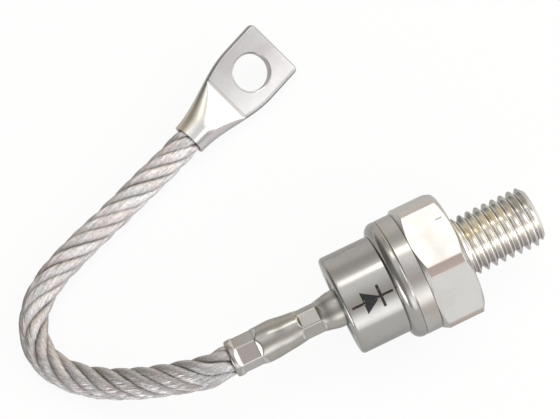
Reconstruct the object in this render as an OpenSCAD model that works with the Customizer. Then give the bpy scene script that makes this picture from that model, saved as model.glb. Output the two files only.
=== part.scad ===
// Stud-mounted rectifier diode with a stranded lead and a ring lug.
// The stud points along +X, the seat of the hexagon is at X = 0 on the stud axis,
// and the diode lies on one flat of its hexagon, so the surface is half the hexagon below the axis.

/* [Stud] */
// Diameter of the stud over its thread crests
stud_d = 12; // [8:0.5:16]
// Length of the stud below the seat
stud_len = 16.2; // [12:0.1:30]
// Height of the lead-in cone at the tip of the stud
stud_lead_in = 1.2; // [0.6:0.1:2]

/* [Hexagon base] */
// Width of the hexagon across its flats
hex_af = 24; // [24:0.5:32]
// Height of the hexagon from the seat to the collar
hex_h = 9; // [6:0.1:14]
// Width of the turned-off strip on each corner of the hexagon
hex_corner_w = 2; // [0.8:0.1:3]
// Angle of the turned chamfers on both ends of the hexagon
hex_chamfer_deg = 30; // [15:1:40]
// Diameter of the flat seat round the stud
seat_d = 23; // [20:0.1:23.6]
// Height of the spigot that centres the collar
spigot_h = 2; // [1:0.1:3]
// Height of the pedestal that carries the die
pedestal_h = 0.6; // [0.4:0.1:2]

/* [Collar] */
// Outside diameter of the collar and of the cap's flange
ring_d = 23.9; // [22.5:0.1:30]
// Height of the collar
ring_h = 3.2; // [3:0.1:5]
// Wall of the collar
ring_wall = 2.7; // [2.4:0.1:3]
// Bevel that forms the seam between collar and cap
seam_bevel = 0.2; // [0.1:0.05:0.4]

/* [Cap] */
// Outside diameter of the cap
cap_d = 20; // [19:0.1:20.5]
// Height of the cap from the seam to its end
cap_h = 12.8; // [12:0.1:20]
// Wall of the cap
cap_wall = 0.8; // [0.5:0.05:1]
// Radius of the edge round the cap's end
cap_edge_r = 0.7; // [0.5:0.05:1]
// Height of the straight rim of the flange, below its round shoulder
flange_rim = 0.7; // [0.5:0.1:1.5]

/* [Glass seal] */
// Diameter of the glass
seal_d = 13; // [11:0.1:14]
// Length of the glass and of the neck that holds it
seal_h = 3.6; // [2:0.1:4]
// Depth of the dished face of the glass
seal_dish = 0.4; // [0.2:0.05:0.8]
// Wall of the neck that is drawn inward round the glass
neck_wall = 0.7; // [0.5:0.05:1]

/* [Terminal sleeve] */
// Outside diameter of the sleeve
tube_d = 7.6; // [7.2:0.1:8.5]
// Length of the sleeve outside the cap
tube_out = 23.2; // [22.8:0.1:30]
// Length of the sleeve below the glass
tube_in = 0.9; // [0.5:0.1:1.5]
// Radius of the lip at the sleeve's open end
lip_r = 0.5; // [0.2:0.05:0.6]
// Length of the round sleeve outside the cap, before it narrows to the inner crimp
neck_out = 0.9; // [0.3:0.1:2]
// Diameter of the waist that the inner crimp leaves in the sleeve
waist_d = 6.4; // [5.9:0.1:7.2]
// Distance from the cap to the flats of the inner crimp
crimp_a_from = 4.5; // [3:0.1:5]
// Length of the flats of the inner crimp
crimp_a_len = 3.6; // [2:0.1:4]
// Width of the inner crimp across its flats
crimp_a_af = 5.5; // [5.2:0.1:6]
// Turn of the inner crimp about the axis
crimp_a_turn = 56; // [0:1:59]
// Distance from the cap to the flats of the outer crimp
crimp_b_from = 17.6; // [16:0.1:18]
// Length of the flats of the outer crimp
crimp_b_len = 3.8; // [2:0.1:4.2]
// Width of the outer crimp across its flats
crimp_b_af = 6.25; // [5.8:0.05:6.8]
// Turn of the outer crimp about the axis
crimp_b_turn = 31; // [0:1:59]
// Length of the short slope at each end of a crimp
crimp_run = 1.3; // [0.6:0.1:1.6]
// Length over which the sleeve swells from the waist to the bulge
bulge_run = 6; // [3:0.1:6.5]

/* [Die stack] */
// Diameter of the molybdenum disc under the die
lower_disc_d = 15; // [14.8:0.1:16]
// Thickness of the disc under the die
lower_disc_h = 1.2; // [0.8:0.1:2]
// Diameter of the silicon die
die_d = 14; // [13:0.1:14.4]
// Thickness of the silicon die
die_h = 0.4; // [0.3:0.05:0.8]
// Diameter of the molybdenum disc on the die
upper_disc_d = 11; // [9.5:0.1:11.5]
// Thickness of the disc on the die
upper_disc_h = 1; // [0.6:0.1:1.5]
// Height of the protective bead above the die
coating_h = 0.5; // [0.3:0.05:0.8]
// Diameter of the contact cup
cup_d = 9; // [7:0.1:9.4]
// Height of the contact cup
cup_h = 4; // [3.8:0.1:5]
// Depth of the cup's socket for the inner lead
cup_socket = 3; // [2:0.1:3.4]
// Diameter of the inner lead
lead_d = 4; // [3:0.1:4.2]

/* [Cable] */
// Diameter of the stranded cable
cable_d = 6.2; // [5.6:0.1:6.6]
// Diameter of the cable where the sleeve squeezes it
core_d = 4.8; // [4:0.1:5]
// Diameter of the cable where the lug squeezes it
lug_core_d = 5.2; // [4:0.1:5.4]
// Depth of the bell mouths where the cable enters the sleeve and the lug
bell_h = 1.2; // [0.8:0.1:2]

/* [Lug] */
// Outside diameter of the lug's barrel
barrel_d = 7.4; // [7:0.1:9]
// Depth of the barrel's bore
barrel_depth = 5; // [3:0.1:5.4]
// Length of the lug from the mouth of its barrel to its tip
lug_len = 26.7; // [24:0.1:32]
// Distance from the mouth to where the flattening starts
flat_from = 4.2; // [3.5:0.1:5]
// Distance from the mouth to the crease at the palm
fold_at = 11.4; // [10.5:0.1:12]
// Width of the palm
palm_w = 14; // [12.5:0.1:18]
// Thickness of the palm
palm_t = 2.4; // [2:0.1:3]
// Diameter of the hole in the palm
palm_hole_d = 7.9; // [5:0.1:9]
// Distance from the hole's centre to the tip
hole_from_tip = 7.5; // [6.5:0.1:9]
// Radius of the palm's tip corners
tip_r = 0.9; // [0.5:0.1:3]
// Bevel on both edges of the palm's hole
hole_bevel = 0.15; // [0.1:0.05:0.5]

/* [Hidden] */
// Gap of a push fit between a bore and what is in it
fit = 0.05;
// Least step from a flat of the hexagon in to the collar
collar_step = 0.05;
// How far a cut runs past the surface that it trims
eps = 0.01;
$fn = 96;

// Heights above the seat, along the axis towards the cap
seam_h = hex_h + ring_h;
end_h = seam_h + cap_h;
pedestal_top = hex_h + spigot_h + pedestal_h;
lower_top = pedestal_top + lower_disc_h;
die_top = lower_top + die_h;
upper_top = die_top + upper_disc_h;
cup_top = upper_top + cup_h;
socket_floor = cup_top - cup_socket;
seal_foot = end_h - seal_h;
tube_foot = seal_foot - tube_in;
lip_h = end_h + tube_out;
lead_end = end_h + crimp_a_from + crimp_a_len + crimp_run;
core_end = end_h + crimp_b_from - crimp_run;

// Radii of the turned pieces; the hexagon is never narrower than the collar that it carries
hex_flat_r = max(hex_af / 2, ring_d / 2 + collar_step);
corner_half_deg = asin(hex_corner_w / 2 / (hex_flat_r / cos(30)));
hex_corner_r = hex_flat_r / cos(30 - corner_half_deg);
ring_r = ring_d / 2;
spigot_r = ring_r - ring_wall;
cap_r = cap_d / 2;
cap_bore_r = cap_r - cap_wall;
shoulder_r = ring_r - cap_r;
seal_r = seal_d / 2;
tube_r = tube_d / 2;
waist_r = waist_d / 2;
// The outer crimp's slope ends where the round lip starts
lip_run = tube_out - crimp_b_from - crimp_b_len - lip_r;

// The surface that the diode lies on
floor_z = -hex_flat_r;
// How far the lug and the cable clear the surface
rest_gap = 0.1;

// The lug widens into its palm over this length from the mouth
widen_to = fold_at + palm_w / 2;

// Place and attitude of the lug: how far its mouth lies ahead of the sleeve's mouth and beside the axis,
// then roll, nose lift and turn. The roll lays the barrel and one edge of the palm on the surface.
lug_ahead = 11.5;
lug_beside = 52;
lug_lift = 4;
lug_roll = asin((barrel_d / 2 + widen_to * sin(lug_lift) - palm_t / 3) / (palm_w / 2));
lug_turn = [lug_roll, -lug_lift, 23];
lug_mouth = [lug_ahead - lip_h, lug_beside, floor_z + barrel_d / 2 + rest_gap];

// Route of the cable between the sleeve and the lug: X from the sleeve's mouth, Y,
// and height of the cable's underside over the surface
cable_lay = [
    [-4.8, 0, 8.3],
    [-11.8, 2.8, 6.2],
    [-18.8, 6.5, 3.4],
    [-25.4, 11, 1],
    [-30.6, 16, rest_gap],
    [-33.5, 21.5, rest_gap],
    [-33.5, 27.5, rest_gap],
    [-30.6, 33, rest_gap],
    [-25.2, 37.3, rest_gap],
    [-17.6, 40.7, rest_gap],
    [-9.6, 43.7, rest_gap],
    [-1.6, 46.9, rest_gap],
    [5.8, 49.8, rest_gap]
];
cable_sides = 10;
cable_steps = 3;
// Cones that make up the swell of the sleeve's bulge
bulge_steps = 6;

nickel = [0.80, 0.80, 0.79];
steel = [0.74, 0.74, 0.73];
tinned = [0.72, 0.71, 0.70];
glass_green = [0.16, 0.20, 0.19];
molybdenum = [0.60, 0.61, 0.63];
silicon = [0.30, 0.32, 0.36];
copper = [0.78, 0.50, 0.35];
rubber_white = [0.88, 0.87, 0.84];

// Turns a piece that is drawn with its axis upright so that heights run along -X
module lay_down() {
    rotate([0, -90, 0])
        children();
}

// Ring or disc of a half section: from one radius to another, between two heights
module band(r_in, r_out, h_from, h_to) {
    translate([r_in, h_from])
        square([r_out - r_in, h_to - h_from]);
}

// Upright disc between two heights
module disc(r, h_from, h_to) {
    translate([0, 0, h_from])
        cylinder(r = r, h = h_to - h_from);
}

// Section of the hexagon's chamfers and turned-off corners
module hexagon_limits() {
    seat_rise = (hex_corner_r - seat_d / 2) * tan(hex_chamfer_deg);
    top_fall = (hex_corner_r - ring_r) * tan(hex_chamfer_deg);
    polygon([
        [0, 0],
        [seat_d / 2, 0],
        [hex_corner_r, seat_rise],
        [hex_corner_r, hex_h - top_fall],
        [ring_r, hex_h],
        [0, hex_h]
    ]);
}

module stud_base() {
    color(nickel)
        lay_down() {
            intersection() {
                rotate([0, 0, 30])
                    cylinder(r = hex_flat_r / cos(30), h = hex_h, $fn = 6);
                rotate_extrude()
                    hexagon_limits();
            }
            rotate_extrude()
                polygon([
                    [0, -stud_len],
                    [stud_d / 2 - stud_lead_in, -stud_len],
                    [stud_d / 2, stud_lead_in - stud_len],
                    [stud_d / 2, 1],
                    [0, 1]
                ]);
            disc(spigot_r, hex_h - 1, hex_h + spigot_h);
            disc(lower_disc_d / 2, hex_h + spigot_h - 0.5, pedestal_top);
        }
}

module weld_ring() {
    inner = spigot_r + fit;
    color(steel)
        lay_down()
            rotate_extrude()
                polygon([
                    [inner, hex_h],
                    [ring_r, hex_h],
                    [ring_r, seam_h - seam_bevel],
                    [ring_r - seam_bevel, seam_h],
                    [inner, seam_h]
                ]);
}

// Half section of the drawn can: wall, round shoulder, flange, rounded end and inward neck
module cap_section() {
    difference() {
        union() {
            band(0, cap_r, seam_h, end_h - cap_edge_r);
            band(0, cap_r - cap_edge_r, seam_h, end_h);
            translate([cap_r - cap_edge_r, end_h - cap_edge_r])
                circle(r = cap_edge_r);
            band(0, ring_r, seam_h, seam_h + flange_rim);
            translate([cap_r, seam_h + flange_rim])
                intersection() {
                    circle(r = shoulder_r);
                    square(shoulder_r);
                }
        }
        band(0, cap_bore_r, seam_h - 1, end_h - cap_wall);
        band(0, seal_r, seam_h - 1, end_h + 1);
        polygon([
            [ring_r - seam_bevel, seam_h - eps],
            [ring_r + eps, seam_h - eps],
            [ring_r + eps, seam_h + seam_bevel]
        ]);
    }
    band(seal_r, seal_r + neck_wall, seal_foot, end_h - cap_wall / 2);
}

module cap() {
    color(steel)
        lay_down()
            rotate_extrude()
                cap_section();
}

module glass_seal() {
    half_w = (seal_r - tube_r) / 2;
    dish_r = (half_w * half_w + seal_dish * seal_dish) / (2 * seal_dish);
    color(glass_green)
        lay_down()
            rotate_extrude()
                difference() {
                    band(tube_r, seal_r, seal_foot, end_h);
                    translate([tube_r + half_w, end_h + dish_r - seal_dish])
                        circle(r = dish_r);
                }
}

// Cuts the six flats of a crimp, with a slope up to the round sleeve at each end
module crimp_cuts(h_from, len, af, turn, run_in, run_out) {
    depth = tube_r - af / 2;
    for (side = [0:5])
        rotate([0, 0, turn + 60 * side])
            translate([af / 2, 0, 0])
                rotate([90, 0, 0])
                    linear_extrude(height = tube_d, center = true)
                        polygon([
                            [0, h_from],
                            [2 * depth, h_from - 2 * run_in],
                            [2 * depth, h_from + len + 2 * run_out],
                            [0, h_from + len]
                        ]);
}

// Bell mouth that opens upward from a squeezed core to the full cable
module bell(core) {
    slope = (cable_d - core) / 2 / bell_h;
    cylinder(r1 = core / 2 + fit, r2 = cable_d / 2 + fit + slope * eps, h = bell_h + eps);
}

// Half section of the sleeve: round at the cap, narrowed to a waist, then swelling into a long bulge
module sleeve_section() {
    waist_from = end_h + crimp_a_from;
    waist_to = waist_from + crimp_a_len;
    polygon(concat(
        [
            [0, tube_foot],
            [tube_r, tube_foot],
            [tube_r, end_h + neck_out],
            [waist_r, waist_from]
        ],
        [for (k = [0:bulge_steps]) [
            waist_r + (tube_r - waist_r) * ease(k / bulge_steps),
            waist_to + bulge_run * k / bulge_steps
        ]],
        [
            [tube_r, lip_h - lip_r],
            [0, lip_h - lip_r]
        ]
    ));
}

module terminal_tube() {
    color(nickel)
        lay_down()
            difference() {
                rotate_extrude() {
                    sleeve_section();
                    band(0, tube_r - lip_r, tube_foot, lip_h);
                    translate([tube_r - lip_r, lip_h - lip_r])
                        circle(r = lip_r);
                }
                disc(lead_d / 2 + fit, tube_foot - 1, lead_end);
                disc(core_d / 2 + fit, core_end, lip_h + 1);
                translate([0, 0, lip_h - bell_h])
                    bell(core_d);
                crimp_cuts(end_h + crimp_a_from, crimp_a_len, crimp_a_af, crimp_a_turn, crimp_run, crimp_run);
                crimp_cuts(end_h + crimp_b_from, crimp_b_len, crimp_b_af, crimp_b_turn, crimp_run, lip_run);
            }
}

module lower_disc() {
    color(molybdenum)
        lay_down()
            disc(lower_disc_d / 2, pedestal_top, lower_top);
}

module silicon_die() {
    color(silicon)
        lay_down()
            disc(die_d / 2, lower_top, die_top);
}

// Bead that sits on the lower disc and laps over the rim of the die
module edge_coating() {
    lap_r = (die_d + upper_disc_d) / 4;
    color(rubber_white)
        lay_down()
            rotate_extrude()
                polygon([
                    [die_d / 2, lower_top],
                    [lower_disc_d / 2, lower_top],
                    [die_d / 2, die_top + coating_h],
                    [lap_r, die_top + coating_h],
                    [lap_r, die_top],
                    [die_d / 2, die_top]
                ]);
}

module upper_disc() {
    color(molybdenum)
        lay_down()
            disc(upper_disc_d / 2, die_top, upper_top);
}

module contact_cup() {
    color(copper)
        lay_down()
            difference() {
                disc(cup_d / 2, upper_top, cup_top);
                disc(lead_d / 2 + fit, socket_floor, cup_top + 1);
            }
}

module inner_lead() {
    color(copper)
        lay_down()
            disc(lead_d / 2, socket_floor, lead_end);
}

// Places a point of the lug's own frame
function turn_x(v, a) = [v[0], v[1] * cos(a) - v[2] * sin(a), v[1] * sin(a) + v[2] * cos(a)];
function turn_y(v, a) = [v[0] * cos(a) + v[2] * sin(a), v[1], v[2] * cos(a) - v[0] * sin(a)];
function turn_z(v, a) = [v[0] * cos(a) - v[1] * sin(a), v[0] * sin(a) + v[1] * cos(a), v[2]];
function lug_point(v) = lug_mouth + turn_z(turn_y(turn_x(v, lug_turn[0]), lug_turn[1]), lug_turn[2]);

// The cable's points: bottom and mouth of the sleeve, the route, mouth and bottom of the barrel
lay_points = [for (p = cable_lay) [p[0] - lip_h, p[1], floor_z + cable_d / 2 + p[2]]];
route = concat(
    [[-core_end, 0, 0], [-lip_h, 0, 0]],
    lay_points,
    [lug_point([0, 0, 0]), lug_point([barrel_depth, 0, 0])]
);
last = len(route) - 1;

// Smooth curve through the route, with its direction
function at(i) = route[i];
function pull(i) = (at(i + 1) - at(i - 1)) / 2;
function curve(i, t) =
    (2 * t ^ 3 - 3 * t ^ 2 + 1) * at(i) + (t ^ 3 - 2 * t ^ 2 + t) * pull(i)
    + (3 * t ^ 2 - 2 * t ^ 3) * at(i + 1) + (t ^ 3 - t ^ 2) * pull(i + 1);
function heading(i, t) =
    6 * (t ^ 2 - t) * at(i) + (3 * t ^ 2 - 4 * t + 1) * pull(i)
    + 6 * (t - t ^ 2) * at(i + 1) + (3 * t ^ 2 - 2 * t) * pull(i + 1);
function unit(v) = v / norm(v);

// One ring of the cable's tube: centre, direction and radius
function cable_ring(c, d, r) =
    let (side = unit(cross([0, 0, 1], d)), up = cross(unit(d), side))
    [for (k = [0:cable_sides - 1]) c + r * (cos(360 * k / cable_sides) * side + sin(360 * k / cable_sides) * up)];

// Skin between rings of equal count, closed by a face at each end
module skin(rings) {
    n = len(rings[0]);
    m = len(rings);
    sides = [
        for (i = [0:m - 2], k = [0:n - 1])
            [i * n + k, i * n + (k + 1) % n, (i + 1) * n + (k + 1) % n, (i + 1) * n + k]
    ];
    ends = [[for (k = [n - 1:-1:0]) k], [for (k = [0:n - 1]) (m - 1) * n + k]];
    polyhedron(points = [for (ring = rings) each ring], faces = concat(sides, ends), convexity = 8);
}

// The cable is full between the two mouths and squeezed below their bells
module cable() {
    out = [-1, 0, 0];
    into = lug_point([1, 0, 0]) - lug_mouth;
    rings = concat(
        [for (h = [core_end, lip_h - bell_h]) cable_ring(h * out, out, core_d / 2)],
        [cable_ring(lip_h * out, out, cable_d / 2)],
        [
            for (i = [1:last - 2], s = [1:cable_steps])
                cable_ring(curve(i, s / cable_steps), heading(i, s / cable_steps), cable_d / 2)
        ],
        [for (s = [bell_h, barrel_depth]) cable_ring(lug_mouth + s * into, into, lug_core_d / 2)]
    );
    color(tinned)
        skin(rings);
}

// Lug, in its own frame: X from the mouth to the tip, Z across the palm
function ease(t) = let (u = max(0, min(1, t))) u * u * (3 - 2 * u);
function ramp(s, from, to) = max(0, min(1, (s - from) / (to - from)));
function tip_cut(s) = let (u = max(0, s - (lug_len - tip_r))) tip_r - sqrt(max(0, tip_r * tip_r - u * u));
function half_w(s) = barrel_d / 2 + (palm_w - barrel_d) / 2 * ease(s / widen_to) - tip_cut(s);
function half_t(s) = barrel_d / 2 + (palm_t - barrel_d) / 2 * ramp(s, flat_from, fold_at);
function flat_w(s) = (half_w(s) - palm_t / 4) * ramp(s, flat_from, fold_at);

lug_arc = 12;
lug_stations = concat(
    [0, flat_from / 2],
    [for (k = [0:8]) flat_from + (fold_at - flat_from) * k / 8],
    [for (k = [1:5]) fold_at + (widen_to - fold_at) * k / 5],
    [for (a = [0:15:75]) lug_len - tip_r + tip_r * sin(a)],
    [lug_len]
);

// Section of the lug: a flat top and bottom with round edges
function lug_ring(s) = concat(
    [for (k = [0:lug_arc]) let (a = -90 + 180 * k / lug_arc)
        [s, flat_w(s) + (half_w(s) - flat_w(s)) * cos(a), half_t(s) * sin(a)]],
    [for (k = [0:lug_arc]) let (a = 90 + 180 * k / lug_arc)
        [s, -flat_w(s) + (half_w(s) - flat_w(s)) * cos(a), half_t(s) * sin(a)]]
);

module hole_edge() {
    cylinder(r1 = palm_hole_d / 2, r2 = palm_hole_d / 2 + hole_bevel + eps, h = hole_bevel + eps);
}

module lug() {
    color(tinned)
        translate(lug_mouth)
            rotate(lug_turn)
                difference() {
                    skin([for (s = lug_stations) lug_ring(s)]);
                    translate([-1, 0, 0])
                        rotate([0, 90, 0])
                            cylinder(d = lug_core_d + 2 * fit, h = barrel_depth + 1);
                    translate([bell_h, 0, 0])
                        rotate([0, -90, 0])
                            bell(lug_core_d);
                    translate([lug_len - hole_from_tip, 0, 0]) {
                        cylinder(d = palm_hole_d, h = 2 * palm_t, center = true);
                        translate([0, 0, palm_t / 2 - hole_bevel])
                            hole_edge();
                        mirror([0, 0, 1])
                            translate([0, 0, palm_t / 2 - hole_bevel])
                                hole_edge();
                    }
                }
}

stud_base();
weld_ring();
cap();
glass_seal();
terminal_tube();
lower_disc();
silicon_die();
edge_coating();
upper_disc();
contact_cup();
inner_lead();
cable();
lug();
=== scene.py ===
# %% [markdown]
# # A stud rectifier diode and its stranded lead
# A power diode is a small machine part as much as a component: a nickel-plated copper hexagon with a
# threaded stud, a welded steel cap, a crimped terminal sleeve and a rope of tinned copper wire that ends
# in a flattened lug. This lesson dresses a fixed model of it: each piece that shows is rebuilt with the
# edges, wires and thread that a plain solid leaves out, at the same size and in the same place.

# %% Load the fixed model
import math
from contextlib import contextmanager

import bmesh
import bpy
import numpy as np
from mathutils import Matrix, Vector


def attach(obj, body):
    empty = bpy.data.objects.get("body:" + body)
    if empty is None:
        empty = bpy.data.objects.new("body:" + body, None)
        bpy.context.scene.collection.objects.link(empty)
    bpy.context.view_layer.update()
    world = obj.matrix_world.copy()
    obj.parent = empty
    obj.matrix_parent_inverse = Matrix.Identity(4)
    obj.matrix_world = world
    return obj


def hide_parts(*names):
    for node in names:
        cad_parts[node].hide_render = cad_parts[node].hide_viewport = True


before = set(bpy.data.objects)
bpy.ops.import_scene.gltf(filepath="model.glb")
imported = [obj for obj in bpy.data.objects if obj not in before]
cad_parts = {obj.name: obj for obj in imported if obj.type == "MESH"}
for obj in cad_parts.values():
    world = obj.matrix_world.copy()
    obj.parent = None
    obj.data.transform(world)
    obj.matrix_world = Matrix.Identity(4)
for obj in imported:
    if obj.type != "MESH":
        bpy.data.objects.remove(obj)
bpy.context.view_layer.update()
scene = bpy.context.scene
scene.view_settings.view_transform = "Standard"
MM = 0.001
IN_MM = (1 / MM, 1 / MM, 1 / MM)
TURN = 2 * math.pi
print("nodes:", ", ".join(sorted(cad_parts)))

# %% [markdown]
# ## The camera
# The picture was taken from high in front of the diode with a long lens, so lines that are parallel stay
# nearly parallel. The camera is given by where it stands, the point on the table that it looks at, and a
# roll, because the table's edge isn't level in the frame.

# %% Stand the camera
camera = bpy.data.objects.new("photo_camera", bpy.data.cameras.new("photo_camera"))
scene.collection.objects.link(camera)
scene.camera = camera
camera.data.sensor_width = 36.0
camera.data.lens = 117.1
camera.data.clip_start = 0.01
stands_at = Vector((-43.59, -135.01, 321.16)) * MM
looks_at = Vector((-26.2, 30.2, -12.0)) * MM
camera_roll = math.radians(-20.2)
facing = (looks_at - stands_at).to_track_quat("-Z", "Y").to_matrix().to_4x4()
camera.matrix_world = Matrix.Translation(stands_at) @ facing @ Matrix.Rotation(camera_roll, 4, "Z")
print("camera stands", round((looks_at - stands_at).length, 3), "m from the table point")

# %% [markdown]
# ## The route of the lead
# The lead leaves the sleeve along its axis, comes down to the table in a wide bend and runs to the barrel
# of the lug. The points are the same ones that place the plain tube in the solid model. A smooth curve
# through them could be a Blender curve object, but the strands need a frame that travels along the line,
# so the line is sampled here at even steps, with a side direction that never twists.

# %% Sample the route
SLEEVE_MOUTH = np.array([-48.2, 0.0, 0.0])
SLEEVE_BOTTOM = np.array([-41.3, 0.0, 0.0])
TABLE_Z = -12.0
LEAD_D = 6.2
LAY = [
    (-4.8, 0, 8.3), (-11.8, 2.8, 6.2), (-18.8, 6.5, 3.4), (-25.4, 11, 1), (-30.6, 16, 0.1),
    (-33.5, 21.5, 0.1), (-33.5, 27.5, 0.1), (-30.6, 33, 0.1), (-25.2, 37.3, 0.1),
    (-17.6, 40.7, 0.1), (-9.6, 43.7, 0.1), (-1.6, 46.9, 0.1), (5.8, 49.8, 0.1),
]
LUG_MOUTH = np.array([-36.7, 52.0, -8.2])
LUG_ROLL, LUG_LIFT, LUG_SWING = 36.7015, -4.0, 23.0
BARREL_DEPTH = 5.0
lug_turn = np.array(
    Matrix.Rotation(math.radians(LUG_SWING), 3, "Z")
    @ Matrix.Rotation(math.radians(LUG_LIFT), 3, "Y")
    @ Matrix.Rotation(math.radians(LUG_ROLL), 3, "X")
)


def lug_to_part(points):
    """Takes points from the lug's own frame, X from mouth to tip, to the part's frame."""
    return LUG_MOUTH + np.asarray(points, float) @ lug_turn.T


def smooth_route(points, steps=24):
    """A curve through the points, from the second to the last but one."""
    line = []
    for i in range(1, len(points) - 2):
        a, b = points[i], points[i + 1]
        pull_a, pull_b = (b - points[i - 1]) / 2, (points[i + 2] - a) / 2
        for t in np.arange(steps) / steps:
            line.append(
                (2 * t**3 - 3 * t**2 + 1) * a + (t**3 - 2 * t**2 + t) * pull_a
                + (3 * t**2 - 2 * t**3) * b + (t**3 - t**2) * pull_b
            )
    return line + [points[-2]]


lay_points = [np.array([x + SLEEVE_MOUTH[0], y, TABLE_Z + LEAD_D / 2 + up]) for x, y, up in LAY]
barrel_bottom = lug_to_part([BARREL_DEPTH, 0, 0])
route = [SLEEVE_BOTTOM, SLEEVE_MOUTH, *lay_points, LUG_MOUTH, barrel_bottom]
line = np.array([SLEEVE_BOTTOM] + smooth_route(route) + [barrel_bottom])
reach = np.concatenate([[0], np.cumsum(np.linalg.norm(np.diff(line, axis=0), axis=1))])
LEAD_LENGTH = float(reach[-1])
RING_STEP = 0.55
along = np.linspace(0, LEAD_LENGTH, int(LEAD_LENGTH / RING_STEP) + 1)
centre = np.stack([np.interp(along, reach, line[:, k]) for k in range(3)], axis=1)
print("lead:", round(LEAD_LENGTH, 1), "mm in all,", len(along), "rings")

# %% Carry a frame along the route


def unit(v):
    return v / np.linalg.norm(v, axis=-1, keepdims=True)


def directions(points):
    """Unit direction of a sampled line at each of its points."""
    return unit(np.gradient(points, axis=0))


heading = directions(centre)
side = [unit(np.cross([0, 0, 1.0], heading[0]))]
for d in heading[1:]:
    side.append(unit(side[-1] - d * (side[-1] @ d)))
side = np.array(side)
lift = np.cross(heading, side)
print("route comes down to", round(float(centre[:, 2].min()), 2), "mm, table at", TABLE_Z)

# %% [markdown]
# ## Small tools for meshes and materials
# Every piece below is built from numbers, so a few small tools do the repeated work: skin rows of points
# into quads, make an object from points and faces, add a shader node with its inputs. Shading is smooth,
# with edges sharper than a set angle kept crisp, as on a turned part. Masks on a surface are measured in
# millimetres of the part's own space, so a tint stays where it is when the part is turned.

# %% Mesh tools
SAME_POINT = 1e-7


def eased(t):
    """A smooth step from 0 to 1."""
    t = min(1.0, max(0.0, t))
    return t * t * (3 - 2 * t)


@contextmanager
def reworked(mesh):
    """Opens a mesh for editing and writes it back."""
    work = bmesh.new()
    work.from_mesh(mesh)
    yield work
    work.to_mesh(mesh)
    work.free()


def shade(mesh, sharp_deg):
    """Smooth shading, with edges sharper than an angle kept crisp."""
    mesh.shade_smooth()
    mesh.set_sharp_from_angle(angle=math.radians(sharp_deg))


def skin(rows, columns, ends=True):
    """Quads between closed rows of points that are stored one row after another, with a face on each end."""
    faces = [
        (r * columns + c, r * columns + (c + 1) % columns,
         (r + 1) * columns + (c + 1) % columns, (r + 1) * columns + c)
        for r in range(rows - 1) for c in range(columns)
    ]
    last = rows * columns - 1
    return faces + [tuple(range(columns)), tuple(range(last, last - columns, -1))] if ends else faces


def make_piece(name, points, faces, slot=None, stands_for=(), sharp_deg=35.0):
    """Makes an object from points in millimetres, facing outward; with a slot it rides on the part."""
    mesh = bpy.data.meshes.new(name)
    mesh.from_pydata((np.asarray(points) * MM).tolist(), [], faces)
    with reworked(mesh) as work:
        bmesh.ops.remove_doubles(work, verts=work.verts, dist=SAME_POINT)
        bmesh.ops.dissolve_degenerate(work, edges=work.edges, dist=SAME_POINT)
        bmesh.ops.recalc_face_normals(work, faces=work.faces)
    shade(mesh, sharp_deg)
    piece = bpy.data.objects.new(name, mesh)
    scene.collection.objects.link(piece)
    if slot:
        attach(piece, "root")
    if stands_for:
        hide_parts(*stands_for)
    return piece


def told(piece):
    print(piece.name, len(piece.data.vertices), "points,", len(piece.data.polygons), "faces")


# %% Material tools


def put(tree, kind, values=None, **settings):
    """Adds a shader node; a value that is a socket is linked, any other value is set."""
    made = tree.nodes.new(kind)
    for label, value in settings.items():
        setattr(made, label, value)
    for key, value in (values or {}).items():
        if isinstance(value, bpy.types.NodeSocket):
            tree.links.new(value, made.inputs[key])
        else:
            made.inputs[key].default_value = value
    return made


def math_of(tree, operation, a, b=0.0):
    return put(tree, "ShaderNodeMath", {0: a, 1: b}, operation=operation).outputs[0]


def vector_of(tree, operation, a, b=(0.0, 0.0, 0.0)):
    """A step of vector arithmetic: "Vector" is its vector result, "Value" its number."""
    return put(tree, "ShaderNodeVectorMath", {0: a, 1: b}, operation=operation).outputs


def millimetres(tree, where):
    """The three parts of a place on the surface, in millimetres."""
    scaled = vector_of(tree, "MULTIPLY", where, IN_MM)["Vector"]
    return put(tree, "ShaderNodeSeparateXYZ", {0: scaled}).outputs


def stored_value(tree, label):
    """A value that was stored with the points of a mesh."""
    return put(tree, "ShaderNodeAttribute", attribute_name=label).outputs["Fac"]


def between(tree, value, low, high, to_low=0.0, to_high=1.0):
    """Maps a value from one span to another, and holds it there."""
    spans = {"Value": value, "From Min": low, "From Max": high, "To Min": to_low, "To Max": to_high}
    return put(tree, "ShaderNodeMapRange", spans).outputs[0]


def mixed(tree, share, a, b):
    """Mixes two colours."""
    return put(tree, "ShaderNodeMix", {0: share, 6: a, 7: b}, data_type="RGBA").outputs[2]


def painted(tree, shader, tone, layers):
    """Lays colours over a tone, each through its own mask, and gives the result to the shader."""
    for mask, colour in layers:
        tone = mixed(tree, mask, tone, colour)
    tree.links.new(tone, shader["Base Color"])


def noise_of(tree, where, scale, detail=2.0, roughness=0.5):
    values = {"Vector": where, "Scale": scale, "Detail": detail, "Roughness": roughness}
    return put(tree, "ShaderNodeTexNoise", values).outputs[0]


def new_group(name, takes, gives):
    """A node group with named inputs (name, socket kind, value) and outputs (name, socket kind)."""
    group = bpy.data.node_groups.new(name, "ShaderNodeTree")
    for label, kind, value in takes:
        socket = group.interface.new_socket(name=label, in_out="INPUT", socket_type=kind)
        if value is not None:
            socket.default_value = value
    for label, kind in gives:
        group.interface.new_socket(name=label, in_out="OUTPUT", socket_type=kind)
    return group, group.nodes.new("NodeGroupInput").outputs, group.nodes.new("NodeGroupOutput").inputs


def place_group(tree, group, values):
    return put(tree, "ShaderNodeGroup", values, node_tree=group).outputs


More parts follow.
